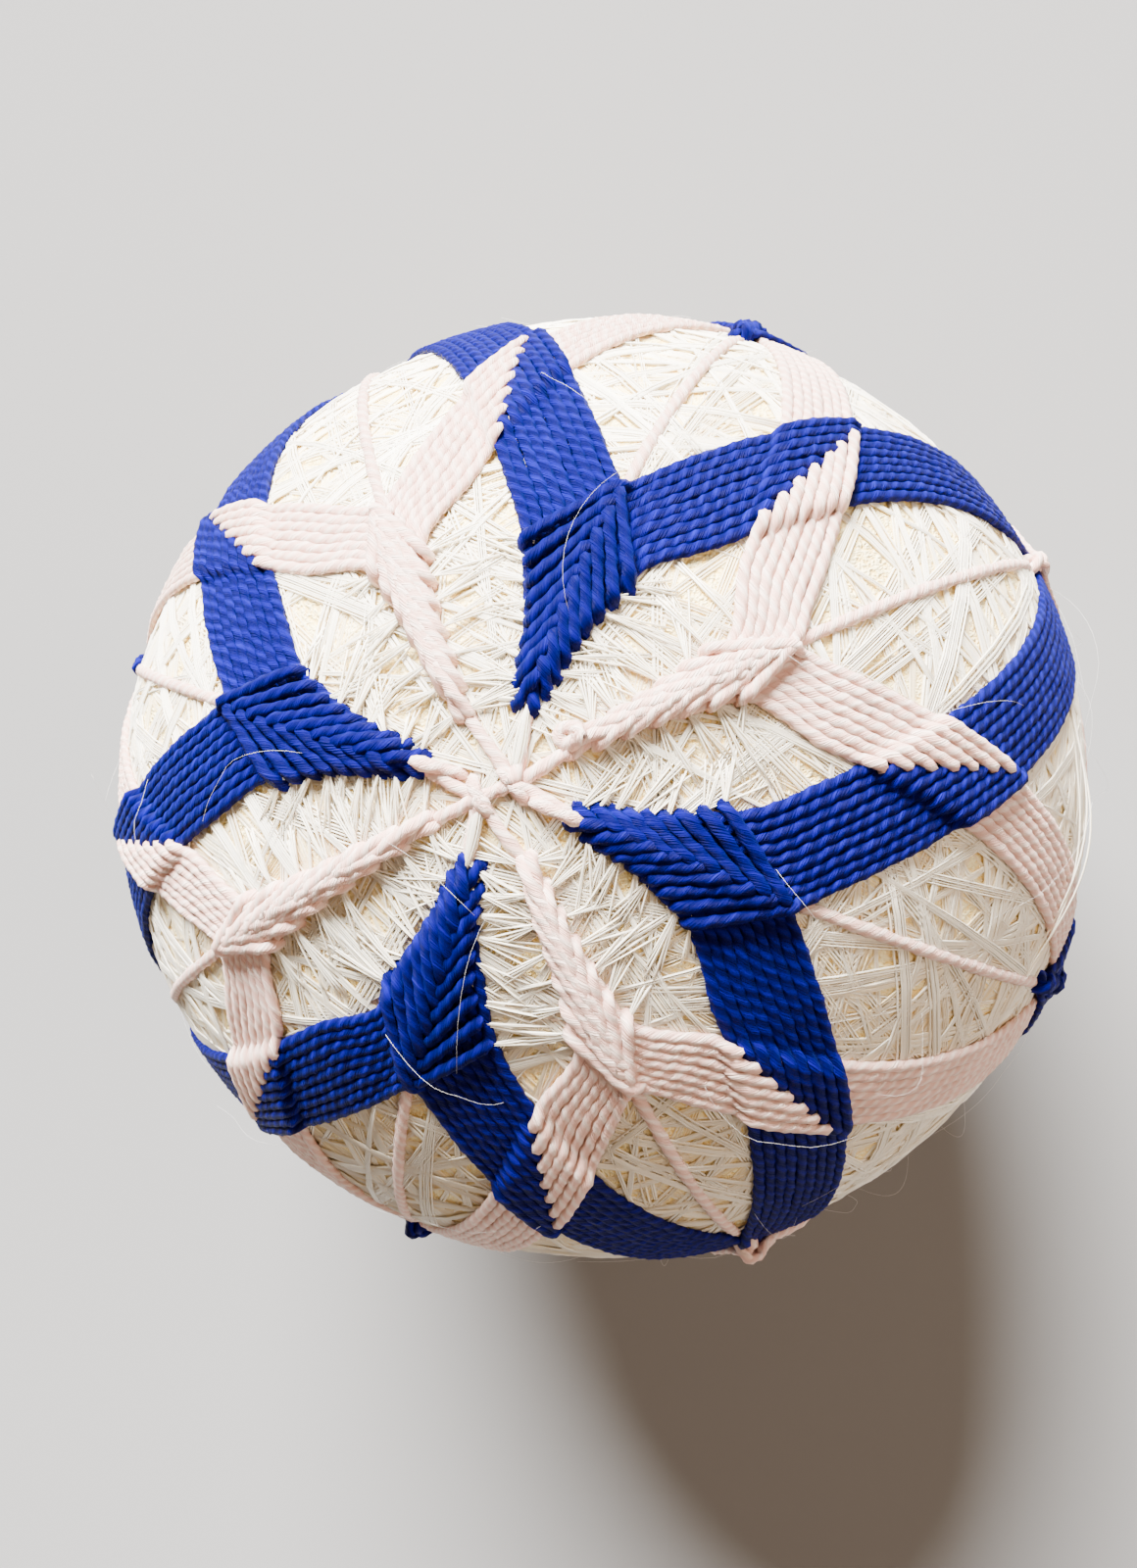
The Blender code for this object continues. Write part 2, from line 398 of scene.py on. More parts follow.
def drawn_in(ways):
    """How strongly the threads are drawn in: 1 round the equator, 0 towards the poles."""
    from_equator = np.abs(np.degrees(np.arccos(ways[:, 2])) - 90.0)
    return np.clip((DRAWN_BAND - from_equator) / (DRAWN_BAND - DRAWN_WHOLE), 0.0, 1.0)


def dive(points, height, beyond):
    """Adds the points with which the first end of a thread goes into the ball."""
    ahead = unit(points[0] - points[1]) / R
    back = ahead if beyond is None else unit(beyond - points[0]) / R
    places = NIP if beyond is None else TUCK
    extra = unit(np.stack([points[0] + ahead * out + back * aside for out, aside in places]))
    rise = np.concatenate([[*DIVE, height[0] * DIVE_FROM], height])
    rise[len(places)] *= DIP
    return np.concatenate([extra, points]), rise


def lay(path, group, under=(), ends=None, climb=CLIMB):
    """Lays one thread over what is there. Returns evenly spaced points and their heights."""
    ways = even(path, FINE)
    base = np.zeros(len(ways))
    for earlier, share in under:
        base = np.maximum(base, read(ways, earlier) * share)
    base = softened(widest(base, AHEAD), SOFT)
    own = np.zeros(len(ways))
    aside = sideways(ways) * (FINE / R)
    for shift in (-1.0, 0.0, 1.0):
        own = np.maximum(own, read(unit(ways + shift * aside), group) > 0.0)
    own = softened(widest(own, OWN_AHEAD), OWN_SOFT) * climb
    drawn = drawn_in(ways)
    height = base + own * (1.0 - DRAWN_CLIMB * drawn) + HALF_HEIGHT
    height = height * (1.0 - DRAWN_HEIGHT * drawn)
    mark(ways[::2], (height + HALF_HEIGHT)[::2], group, MARK_RADIUS)
    points = even(path, STEP)
    spots = np.linspace(0.0, len(ways) - 1.0, len(points))
    height = np.interp(spots, np.arange(len(ways)), height)
    if ends is not None:
        points, height = dive(points, height, ends[0])
        points, height = dive(points[::-1], height[::-1], ends[1])
        points, height = points[::-1], height[::-1]
    return points, height


print("a thread rises", CLIMB, "mm where it crosses another of its own half")

# %% [markdown]
# The guide threads are laid first. On this ball they don't meet in one point: half of them end
# in a knot a millimetre from the pole, the others in a second knot, and three short stitches
# hold the two together. One more thread runs round the widest part.

# %% Lay the guide threads
MIRROR = np.array([1.0, 1.0, -1.0])
KNOTS = ((-1.0, -0.75), (1.0, 0.05))
FIRST_KNOT_LINES = (3, 4, 5, 6)
KNOT_REACH = 4.0
WAVER, WAVES_DOWN, WAVES_ROUND = 0.004, 3.0, 4.0
NEAR_POLE, NEAR_POINTS, FAR_POINTS = 0.4, 60, 200
TACK_POINTS, ROUND_POINTS = 12, 900
SINK_FROM, SINK_WHOLE, SINK = 12.0, 28.0, 0.2
TACKS = (
    # from and to, in mm from the pole
    ((-0.95, -0.7), (0.95, 0.0)),
    ((-1.35, -0.2), (-0.75, -1.35)),
    ((0.6, 0.55), (1.4, -0.5)),
)
threads = {name: [] for name in (*STARS, "guide")}


def knot_of(line):
    return np.array(KNOTS[0] if line in FIRST_KNOT_LINES else KNOTS[1])


near = np.linspace(0.0, NEAR_POLE, NEAR_POINTS)
out = np.concatenate([near[:-1], np.linspace(NEAR_POLE, math.pi / 2.0, FAR_POINTS)])
for line in range(len(LINES)):
    flat = on_ball(out, AZIMUTH[line] + WAVER * np.sin(out * WAVES_DOWN + line))
    flat[:, :2] += knot_of(line) / R * np.exp(-(out * R / KNOT_REACH) ** 2)[:, None]
    upper_part = unit(flat)
    points, height = lay(np.concatenate([upper_part, (upper_part * MIRROR)[-2::-1]]), "guide")
    from_pole = np.degrees(np.arccos(np.abs(points[:, 2])))
    sunk = SINK * np.clip((from_pole - SINK_FROM) / (SINK_WHOLE - SINK_FROM), 0.0, 1.0)
    threads["guide"].append((points, height - sunk))
for start, end in TACKS:
    for sign in (1.0, -1.0):
        x, y = np.linspace(start, end, TACK_POINTS).T
        path = near_pole(x, y) * (1.0, 1.0, sign)
        threads["guide"].append(lay(path, "guide", (), (None, None)))
around = np.linspace(0.0, math.tau, ROUND_POINTS)
path = on_ball(math.pi / 2.0 + WAVER * np.sin(around * WAVES_ROUND), around)
threads["guide"].append(lay(path, "guide"))
print(len(threads["guide"]), "guide threads")

# %% [markdown]
# The two stars of one half are stitched together, a row of one and then a row of the other, so
# the bands weave through each other. The lower half comes last, and its outer stitches lie over
# the threads of the upper half. The pale thread is pulled less tight than the blue one, so its
# braids stand higher. Each stitch end is kept, because the stitches also pull at the
# wound thread around them. A guide thread is pressed into the ball where the bands cover it.

# %% Stitch the stars
PRESSED_TO = -0.05
PALE_SLACK = 0.14
# How much of its height an earlier thread keeps where a later one presses on it.
OVER_GUIDE, OVER_UPPER = ("guide", 0.45), ("upper", 0.93)
stitches = []
for upper in (True, False):
    half = "upper" if upper else "lower"
    under = (OVER_GUIDE,) if upper else (OVER_GUIDE, OVER_UPPER)
    pair = [Star("blue_" + half), Star("pale_" + half)]
    for row in range(ROWS):
        for star in pair:
            if row >= star.rows:
                continue
            for path, ends in row_of_legs(star, row):
                if not upper:
                    path = path * MIRROR
                    ends = [None if end is None else end * MIRROR for end in ends]
                climb = CLIMB + CLIMB_EACH_ROW * row
                if star.name.startswith("pale"):
                    climb += PALE_SLACK
                threads[star.name].append(lay(path, half, under, ends, climb))
                stitches.extend(zip(path[[0, -1]], ends))
for index, (points, height) in enumerate(threads["guide"]):
    under_bands = softened(widest((read_stars(points) > 0.0).astype(float), 1), 1)
    threads["guide"][index] = (points, height + (PRESSED_TO - height) * under_bands)
print(len(stitches), "stitch ends")

# %% [markdown]
# Three small accidents of the hand are kept, because they show that the ball is stitched: two
# guide threads end in a stitch over the tip of a blue braid, and the first stitch of one pale
# braid has slackened into a small loop.

# %% Lay the ends over two tips, and the slack loop
OVER_TIPS = (3, 7)
TIP_FROM, TIP_TO, TIP_ASIDE, TIP_POINTS = 3.0, 5.1, -0.012, 10
TIP_OVER = (("guide", 0.6), ("upper", 1.0))
LOOP_AT = (4.5, 3.05)
LOOP_LONG, LOOP_WIDE = 0.75, 0.5
LOOP_FROM, LOOP_TO, LOOP_POINTS = -50.0, 250.0, 40
LOOP_OVER = (("guide", 0.6), ("upper", 0.7))
out = np.linspace(TIP_FROM, TIP_TO, TIP_POINTS) / R
for line in OVER_TIPS:
    path = on_ball(out, AZIMUTH[line] + TIP_ASIDE)
    threads["guide"].append(lay(path, "guide", TIP_OVER, (None, None)))
turn = np.radians(np.linspace(LOOP_FROM, LOOP_TO, LOOP_POINTS))
loop = near_pole(LOOP_AT[0] + LOOP_LONG * np.cos(turn), LOOP_AT[1] + LOOP_WIDE * np.sin(turn))
threads["pale_upper"].append(lay(loop, "upper", LOOP_OVER, (None, None)))
for name, laid in threads.items():
    length = sum(len(points) - 1 for points, _ in laid) * STEP * MM
    print(name, len(laid), "threads,", round(length, 2), "m")

# %% [markdown]
# The stitching thread is pearl cotton: two plies twisted together and singed smooth. Two
# separate strands could be coiled round each other, but one sweep is lighter: its section is
# wide across the plies and narrow between them, and it turns once every two and a half
# millimetres, which gives the plies their slant. A curve with a second curve as its bevel does the
# sweeping. The tilt of the points sets the turn, their radius lets the thread swell a little,
# and afterwards the thread is pressed, so that it is lower than it is wide.

# %% Sweep a section along a thread
TURN = 2.5
SQUASH = 0.74
UNEVEN_TURN, TURN_WAVES = 0.6, (0.5, 0.9)
SWELL, SWELL_WAVES = 0.06, (0.8, 1.6)
ANY_START = 9.0
PLY_SECTION = (
    # angle in degrees, radius in mm: far out on the two plies, nearer in between them
    (0.0, 0.495), (60.0, 0.425), (120.0, 0.425), (180.0, 0.495), (240.0, 0.425), (300.0, 0.425),
)


def section_curve(corners):
    """A closed flat curve that is swept along the threads."""
    shape = bpy.data.curves.new("section", "CURVE")
    shape.dimensions = "2D"
    ring = shape.splines.new("POLY")
    ring.points.add(len(corners) - 1)
    for point, (angle, radius) in zip(ring.points, corners):
        turn = math.radians(angle)
        point.co = (radius * MM * math.cos(turn), radius * MM * math.sin(turn), 0.0, 1.0)
    ring.use_cyclic_u = True
    return shape


def turn_plies(spline, count, turn):
    """Sets the tilt and the radius of a spline's points, a little unevenly."""
    along = np.arange(count) * STEP
    wave = along * rng.uniform(*TURN_WAVES) + rng.uniform(0.0, ANY_START)
    uneven = UNEVEN_TURN * np.sin(wave)
    tilt = rng.uniform(0.0, math.tau) + uneven - along * math.tau / turn
    wave = along * rng.uniform(*SWELL_WAVES) + rng.uniform(0.0, ANY_START)
    swell = 1.0 + SWELL * np.sin(wave)
    spline.points.foreach_set("tilt", tilt.astype(np.float32))
    spline.points.foreach_set("radius", swell.astype(np.float32))


def shown_object(name, data):
    made = bpy.data.objects.new(name, data)
    bpy.context.scene.collection.objects.link(made)
    return made


def swept(lines, corners, turn):
    """One mesh of all the threads, ring by ring."""
    curve = bpy.data.curves.new("path", "CURVE")
    curve.dimensions = "3D"
    curve.twist_mode = "MINIMUM"
    curve.bevel_mode = "OBJECT"
    section = shown_object("section", section_curve(corners))
    curve.bevel_object = section
    for line in lines:
        spline = curve.splines.new("POLY")
        spline.points.add(len(line) - 1)
        places = np.concatenate([line * MM, np.ones((len(line), 1))], axis=1)
        spline.points.foreach_set("co", places.astype(np.float32).ravel())
        if turn:
            turn_plies(spline, len(line), turn)
    holder = shown_object("path", curve)
    depsgraph = bpy.context.evaluated_depsgraph_get()
    mesh = bpy.data.meshes.new_from_object(holder.evaluated_get(depsgraph))
    for used in (holder, section):
        data = used.data
        bpy.data.objects.remove(used, do_unlink=True)
        bpy.data.curves.remove(data)
    return mesh


print("a ply section has", len(PLY_SECTION), "corners and turns once in", TURN, "mm")

# %% [markdown]
# The sweep is still open at its ends, and nothing yet says which thread a vertex belongs to. So
# the ends are filled with a bmesh operator, the normals are made to point outwards, and two
# attributes are written for the materials: "crown" is high on the plies and low between them,
# where the materials paint shade, and "shade" gives each thread a tone of its own. Where threads
# pile up as a braid, little light gets between them, so the crowns of the dark blue threads are
# lowered there, which paints shade into the blue braids.

# %% Press, close and label the threads
BRAID_FROM, BRAID_WHOLE = 0.65, 0.95
BRAID_WITHIN = math.cos(0.6)
# How much painted shade lowers the crowns of the blue threads where they pile up in braids.
BRAID_SHADE = {"blue_upper": 0.55, "blue_lower": 0.55}


def piled_up(ways, height):
    """1 where a thread lies high in a braid near its pole, 0 elsewhere."""
    braid_shade_mask = np.clip((height - BRAID_FROM) / (BRAID_WHOLE - BRAID_FROM), 0.0, 1.0)
    return braid_shade_mask * (np.abs(ways[:, 2]) > BRAID_WITHIN)


def write_values(mesh, name, values):
    layer = mesh.attributes.new(name, "FLOAT", "POINT")
    layer.data.foreach_set("value", values.astype(np.float32))


def close_ends(mesh, corners):
    bm = bmesh.new()
    bm.from_mesh(mesh)
    rims = [edge for edge in bm.edges if edge.is_boundary]
    bmesh.ops.holes_fill(bm, edges=rims, sides=len(corners))
    bmesh.ops.recalc_face_normals(bm, faces=bm.faces)
    bm.to_mesh(mesh)
    bm.free()


def sweep(name, laid, corners, turn=0, squash=1.0, shades=None, dark=0.0):
    """Sweeps a section along every laid thread and returns one object. A section that
    doesn't turn keeps its first corner sideways."""
    lines = [lifted(points, height) for points, height in laid]
    mesh = swept(lines, corners, turn)
    rings = sum(len(line) for line in lines)
    each = len(corners)
    centres = np.repeat(np.concatenate(lines), each, axis=0)
    outward = np.repeat(np.concatenate([points for points, _ in laid]), each, axis=0)
    across = np.repeat(np.concatenate([sideways(points) for points, _ in laid]), each, axis=0)
    angles = np.tile(np.radians([angle for angle, _ in corners]), rings)
    sizes = np.tile([size for _, size in corners], rings)
    if turn:
        where = np.empty(len(mesh.vertices) * 3, dtype=np.float32)
        mesh.vertices.foreach_get("co", where)
        offset = where.reshape(-1, 3).astype(float) / MM - centres
    else:
        offset = (across * (np.cos(angles) * sizes)[:, None]
                  + outward * (np.sin(angles) * sizes)[:, None])
    rise = np.sum(offset * outward, axis=1, keepdims=True)
    where = rested(centres + offset - outward * rise * (1.0 - squash))
    mesh.vertices.foreach_set("co", (where * MM).astype(np.float32).ravel())
    if shades is None:
        shades = rng.uniform(0.0, 1.0, len(laid))
    counts = [len(line) * each for line in lines]
    braid_shade_mask = np.concatenate([piled_up(points, height) for points, height in laid])
    crown = (sizes - sizes.min()) / max(np.ptp(sizes), 1e-6)
    # Lowering the crown where threads pile up paints shade into the blue braids.
    write_values(mesh, "crown", crown * (1.0 - dark * np.repeat(braid_shade_mask, each)))
    write_values(mesh, "shade", np.repeat(shades, counts))
    close_ends(mesh, corners)
    mesh.shade_smooth()
    mesh.name = name
    triangles = sum(len(face.vertices) - 2 for face in mesh.polygons)
    print(name, len(laid), "threads,", triangles, "triangles")
    return shown_object(name, mesh)


pieces = {}
for name, laid in threads.items():
    dark = BRAID_SHADE.get(name, 0.0)
    pieces[name] = sweep(name + "_threads", laid, PLY_SECTION, TURN, SQUASH, dark=dark)

# %% [markdown]
# Under the stitching lies the wound thread: fine cream thread, wound in every direction while
# the ball turns in the hand. Each turn is a great circle, and some neighbouring turns run side
# by side as a bundle. A noise in a material would give streaks but no crossings, and it is the
# crossings that make a wound ball, so the turns near the surface are laid as real threads. A
# stretch that lies wholly under a star is left out, which saves roughly a seventh of them.

# %% Where the stars leave the ball open
def grown(mask, cells):
    """The mask grown by a number of cells, or shrunk when the number is below zero."""
    if cells < 0:
        return ~grown(~mask, -cells)
    for axis in (0, 1):
        total = mask.copy()
        for shift in range(1, cells + 1):
            total |= np.roll(mask, shift, axis) | np.roll(mask, -shift, axis)
        mask = total
    return mask


CLOSE_GAPS, LEAVE_RIM = 3, 5
ANY_WAY = (0.3, 0.2, 0.9)
for half in MAPS:
    stitched = (half.layer("upper") > 0.0) | (half.layer("lower") > 0.0)
    half.layers["stitched"] = grown(grown(stitched, CLOSE_GAPS), -LEAVE_RIM).astype(np.float32)


def great_circle(axis, count):
    first = unit(np.cross(axis, ANY_WAY))
    second = np.cross(axis, first)
    turn = np.linspace(0.0, math.tau, count, endpoint=False)[:, None]
    return first * np.cos(turn) + second * np.sin(turn)


def open_runs(ways, height):
    """The stretches of a closed path that the stars leave open, with one point more each way."""
    clear = read(ways, "stitched") == 0.0
    keep = clear | np.roll(clear, 1) | np.roll(clear, -1)
    if keep.all():
        order = np.append(np.arange(len(keep)), 0)
        return [(ways[order], height[order])]
    order = (np.arange(len(keep)) + int(np.argmin(keep))) % len(keep)
    cuts = np.flatnonzero(np.diff(keep[order].astype(int))) + 1
    runs = [run for run in np.split(order, cuts) if keep[run[0]] and len(run) > 1]
    return [(ways[run], height[run]) for run in runs]


print("open cells of the upper map:", int(np.sum(MAPS[0].layer("stitched") == 0.0)))

# %% Wind the bundles
WOUND = {
    # name: bundles, fewest and most turns in a bundle, lowest and highest level, thread radius
    "wound_deep": (140, 3, 7, -0.22, -0.03, 0.11),
    "wound_top": (120, 4, 10, -0.03, 0.19, 0.075),
}
CIRCLE_POINTS = 45
BESIDE, UNEVEN_BESIDE = 2.05, 0.02
SPLAY_LEAST, SPLAY_MOST = 0.0004, 0.004
UNEVEN_LEVEL = 0.03
wound = {}
for name, (bundles, fewest, most, lowest, highest, radius) in WOUND.items():
    wound[name] = []
    for bundle in range(bundles):
        axis = unit(rng.normal(size=3))
        across = unit(np.cross(axis, rng.normal(size=3)))
        level = lowest + (highest - lowest) * bundle / bundles
        splay = rng.uniform(SPLAY_LEAST, SPLAY_MOST)
        for strand in range(int(rng.integers(fewest, most + 1))):
            lean = across * (strand * radius * BESIDE + rng.normal(0.0, UNEVEN_BESIDE)) / R
            ways = great_circle(unit(axis + lean + rng.normal(0.0, splay, 3)), CIRCLE_POINTS)
            height = np.full(CIRCLE_POINTS, level + rng.uniform(-UNEVEN_LEVEL, UNEVEN_LEVEL))
            wound[name].extend(open_runs(ways, height))
    print(name, len(wound[name]), "stretches")

# %% [markdown]
# Every stitch catches a few wound threads and pulls them towards its hole, so short bright
# threads fan out from the edges of each braid. Along two of the guide lines a slim bundle has
# been pulled up as a spindle, and three turns have come loose and bow away from the ball.

# %% Lay the pulled threads
FAN_FEWEST, FAN_MOST = 6, 10
FAN_SHORTEST, FAN_LONGEST = 2.5, 6.0
FAN_LENGTHS = (0.6, 1.1)
FAN_TURN, FAN_SPREAD, FAN_HOLE = 0.32, 0.13, 0.05
FAN_START, FAN_TOP, FAN_POINTS = -0.5, 0.2, 5
FAN_HEIGHTS, FAN_UNEVEN = (0.38, 0.5, 0.30, 0.04), 0.06
SPINDLE_LINES = (1, 5)
SPINDLE_LONG, SPINDLE_HALF, SPINDLE_THREADS = 5.9, 0.42, 11
SPINDLE_FROM, SPINDLE_POINTS, SPINDLE_UNEVEN, SPINDLE_SKEW = 0.12, 8, 0.04, 0.8
SPINDLE_HIGH, SPINDLE_SIDES, SPINDLE_ENDS = 0.72, 0.25, 0.3
LOOSE_FROM_POLE, LOOSE_AZIMUTH, LOOSE_LONG, LOOSE_SLANT = 1.22, -0.12, 0.30, 0.05
LOOSE_STEP, LOOSE_LOW, LOOSE_POINTS = 0.1, 0.1, 24
LOOSE_TURNS = (
    # shift round the ball, height in mm at the middle of the bow
    (0.0, 1.5),
    (0.03, 1.1),
    (-0.05, 0.8),
)


def fan(hole, beyond):
    """Short threads that run outwards from a stitch hole, away from the braid."""
    away = unit(hole - beyond)
    away = unit(away - hole * (away @ hole))
    level_way = np.cross(hole, away)
    whole = rng.normal(0.0, FAN_TURN)
    reach = rng.uniform(FAN_SHORTEST, FAN_LONGEST)
    for _ in range(int(rng.integers(FAN_FEWEST, FAN_MOST + 1))):
        spread = whole + rng.normal(0.0, FAN_SPREAD)
        heading = away * math.cos(spread) + level_way * math.sin(spread)
        length = reach * rng.uniform(*FAN_LENGTHS)
        along = np.linspace(FAN_START, length, FAN_POINTS)
        start = unit(hole + level_way * rng.normal(0.0, FAN_HOLE) / R)
        height = np.interp(along, [FAN_START, FAN_TOP, length * 0.5, length], FAN_HEIGHTS)
        height += rng.uniform(-FAN_UNEVEN, FAN_UNEVEN)
        yield unit(start + heading * (along / R)[:, None]), height


def spindle(line):
    """A slim bundle that lies along a guide line, thickest half-way."""
    knot = knot_of(line)
    ahead = np.array([math.cos(AZIMUTH[line]), math.sin(AZIMUTH[line])])
    t = np.linspace(SPINDLE_FROM, 1.0, SPINDLE_POINTS)
    middle = knot + (SPINDLE_LONG * ahead - knot) * t[:, None]
    for place in np.linspace(-SPINDLE_HALF, SPINDLE_HALF, SPINDLE_THREADS):
        aside = (place + rng.normal(0.0, SPINDLE_UNEVEN)) * np.sin(math.pi * t ** SPINDLE_SKEW)
        ways = near_pole(middle[:, 0] - ahead[1] * aside, middle[:, 1] + ahead[0] * aside)
        fall = SPINDLE_SIDES * (place / SPINDLE_HALF) ** 2
        yield ways, SPINDLE_HIGH - fall - SPINDLE_ENDS * (2.0 * t - 1.0) ** 4


def loose_turn(shift, high):
    """A wound thread that bows away from the ball."""
    t = np.linspace(-1.0, 1.0, LOOSE_POINTS)
    from_pole = LOOSE_FROM_POLE + LOOSE_STEP * shift + LOOSE_SLANT * t
    ways = on_ball(from_pole, LOOSE_AZIMUTH + shift + LOOSE_LONG * t)
    return ways, LOOSE_LOW + high * np.cos(0.5 * math.pi * t) ** 2


pulled = []
for hole, beyond in stitches:
    if beyond is not None:
        pulled.extend(fan(hole, beyond))
for line in SPINDLE_LINES:
    pulled.extend(spindle(line))
pulled.extend(loose_turn(shift, high) for shift, high in LOOSE_TURNS)
print(len(pulled), "pulled threads")

# %% [markdown]
# Handled cotton is never clean: single fibres lie over the bands, and others stand away from
# the ball and catch the light at its edge. They are few and far thinner than any thread, so
# some short bowed paths are enough. A hair system would make thousands, which is too many.

# %% Scatter the loose fibres
LYING, STANDING = 40, 80
FIBRE_SHORTEST, FIBRE_LONGEST = 4.0, 13.0
FIBRE_ABOVE = 0.26
FIBRE_AHEAD, FIBRE_SOFT = 6, 4
FIBRE_FINE, FIBRE_KEPT = 56, 5
FIBRE_CURL = 0.7
LYING_RISE, STANDING_RISE = (0.05, 0.5), (0.8, 2.2)
STANDS, STAND_POWER = 0.4, 1.5


def fibre(lowest, highest):
    """A fibre that bows up over what is there, or stands out at its far end."""
    start = unit(rng.normal(size=3))
    ahead = unit(np.cross(start, rng.normal(size=3)))
    aside = np.cross(start, ahead)
    length = rng.uniform(FIBRE_SHORTEST, FIBRE_LONGEST) / R
    curl = rng.normal(0.0, FIBRE_CURL)
    t = np.linspace(0.0, 1.0, FIBRE_FINE)[:, None]
    ways = unit(start + ahead * length * t + aside * length * curl * t * t)
    rise = rng.uniform(lowest, highest)
    shape = t[:, 0] ** STAND_POWER if rng.uniform() < STANDS else np.sin(math.pi * t[:, 0])
    below = softened(widest(read_stars(ways), FIBRE_AHEAD), FIBRE_SOFT)
    height = below + FIBRE_ABOVE + rise * shape
    return ways[::FIBRE_KEPT], height[::FIBRE_KEPT]


loose = [fibre(*LYING_RISE) for _ in range(LYING)]
loose += [fibre(*STANDING_RISE) for _ in range(STANDING)]
print(len(loose), "loose fibres")

# %% [markdown]
# The fine threads have no plies to show, so three corners and smooth shading are enough for
# them, with one corner on top. Their "shade" follows their level: the deeper a thread lies, the
# more golden it looks, because light reaches it only by way of other threads.

# %% Sweep the fine threads
FINE_SECTION = ((90.0, 1.0), (215.0, 1.15), (325.0, 1.15))
FIBRE_RADIUS = 0.0065
PULLED_RADIUS = 0.075
# Pulled threads lie on top, so their shades keep them near the light end of the painted depth
# shade.
PULLED_SHADES = (0.6, 1.0)
# A wound thread's shade at the surface, its change for each mm of height, and how uneven it is.
SHADE_LEVEL, SHADE_RISE, SHADE_UNEVEN = 0.62, 1.6, 0.12


def fine_section(radius):
    return [(angle, size * radius) for angle, size in FINE_SECTION]


for name, runs in wound.items():
    levels = np.array([height[0] for _, height in runs])
    depth = SHADE_LEVEL + SHADE_RISE * levels + rng.normal(0.0, SHADE_UNEVEN, len(runs))
    radius = WOUND[name][-1]
    pieces[name] = sweep(name, runs, fine_section(radius), shades=np.clip(depth, 0.0, 1.0))
bright = rng.uniform(*PULLED_SHADES, len(pulled))
pieces["wound_pulled"] = sweep("wound_pulled", pulled, fine_section(PULLED_RADIUS), shades=bright)
pieces["loose_fibres"] = sweep("loose_fibres", loose, fine_section(FIBRE_RADIUS))

# %% [markdown]
# All finishes are made from the same few node steps, so the steps get short helpers first: a
# new material, an attribute written on the mesh, a mix of two colours, a ramp that sharpens a
# value, and a noise.

# %% Helpers for the finishes
MIX_FACTOR, MIX_FIRST, MIX_SECOND, MIX_RESULT = 0, 6, 7, 2
print("a mix of colours uses the inputs", MIX_FACTOR, MIX_FIRST, MIX_SECOND)


def shader_of(name):
    made = bpy.data.materials.new(name)
    made.use_nodes = True
    return made, made.node_tree, made.node_tree.nodes["Principled BSDF"]


def attribute(tree, name):
    node = tree.nodes.new("ShaderNodeAttribute")
    node.attribute_name = name
    return node.outputs["Fac"]


def blend_of(tree, factor, first, second):
    """A mix of two colours, each given as numbers or as a socket."""
    node = tree.nodes.new("ShaderNodeMix")
    node.data_type = "RGBA"
    tree.links.new(factor, node.inputs[MIX_FACTOR])
    for socket, value in ((MIX_FIRST, first), (MIX_SECOND, second)):
        if isinstance(value, tuple):
            node.inputs[socket].default_value = (*value, 1.0)
        else:
            tree.links.new(value, node.inputs[socket])
    return node.outputs[MIX_RESULT]


def ramp(tree, value, low, high):
    """0 up to the lower value and 1 from the higher one on."""
    node = tree.nodes.new("ShaderNodeValToRGB")
    tree.links.new(value, node.inputs["Fac"])
    for element, place, grey in zip(node.color_ramp.elements, (low, high), (0.0, 1.0)):
        element.position = place
        element.color = (grey, grey, grey, 1.0)
    return node.outputs["Color"]


def noise_of(tree, place, scale, detail, turn=(0.0, 0.0, 0.0)):
    """Noise drawn out along one axis by scaling its place unevenly."""
    mapping = tree.nodes.new("ShaderNodeMapping")
    mapping.inputs["Rotation"].default_value = turn
    mapping.inputs["Scale"].default_value = scale
    noise = tree.nodes.new("ShaderNodeTexNoise")
    noise.inputs["Scale"].default_value = 1.0
    noise.inputs["Detail"].default_value = detail
    tree.links.new(place, mapping.inputs["Vector"])
    tree.links.new(mapping.outputs["Vector"], noise.inputs["Vector"])
    return noise.outputs["Fac"]


def bumped(tree, shader, height, strength, distance):
    bump = tree.nodes.new("ShaderNodeBump")
    bump.inputs["Strength"].default_value = strength
    bump.inputs["Distance"].default_value = distance
    tree.links.new(height, bump.inputs["Height"])
    tree.links.new(bump.outputs["Normal"], shader.inputs["Normal"])


# %% [markdown]
# Pearl cotton has a silky gloss, because it is mercerised: its fibres are swollen and lie
# straight. What the eye sees is a light crown on each ply, a shaded notch between the plies, and
# fibres that follow the slant. The "crown" attribute gives the first two: the notch gets a
# darker colour, which is painted shade. The sweep's own map runs along and round the thread, so
# noise drawn out on it gives the fibres. Dark blue thread reflects hardly any white light, so
# its gloss is set low and its fuzz is tinted blue.

# %% Pearl cotton
FIBRES, FIBRE_DETAIL, FIBRE_EDGES = (22.0, 20.0, 1.0), 4.0, (0.35, 0.65)
FIBRE_BUMP = (0.9, 0.3 * MM)
CROWN_EDGES = (0.0, 0.85)
BLUE_GLOSS, BLUE_FUZZ = 0.04, (0.05, 0.15, 1.0)
PALE_GLOSS, PALE_FUZZ = 0.3, (1.0, 0.9, 0.85)
# The third colour of each cotton is painted shade in the notch between the two plies.
BLUE_LIGHT, BLUE_DARK, BLUE_NOTCH_SHADE = (0.007, 0.003, 0.25), (0.003, 0.0, 0.13), (0.001, 0.0, 0.05)
PALE_LIGHT, PALE_DARK, PALE_NOTCH_SHADE = (0.95, 0.78, 0.68), (0.91, 0.68, 0.58), (0.83, 0.50, 0.40)


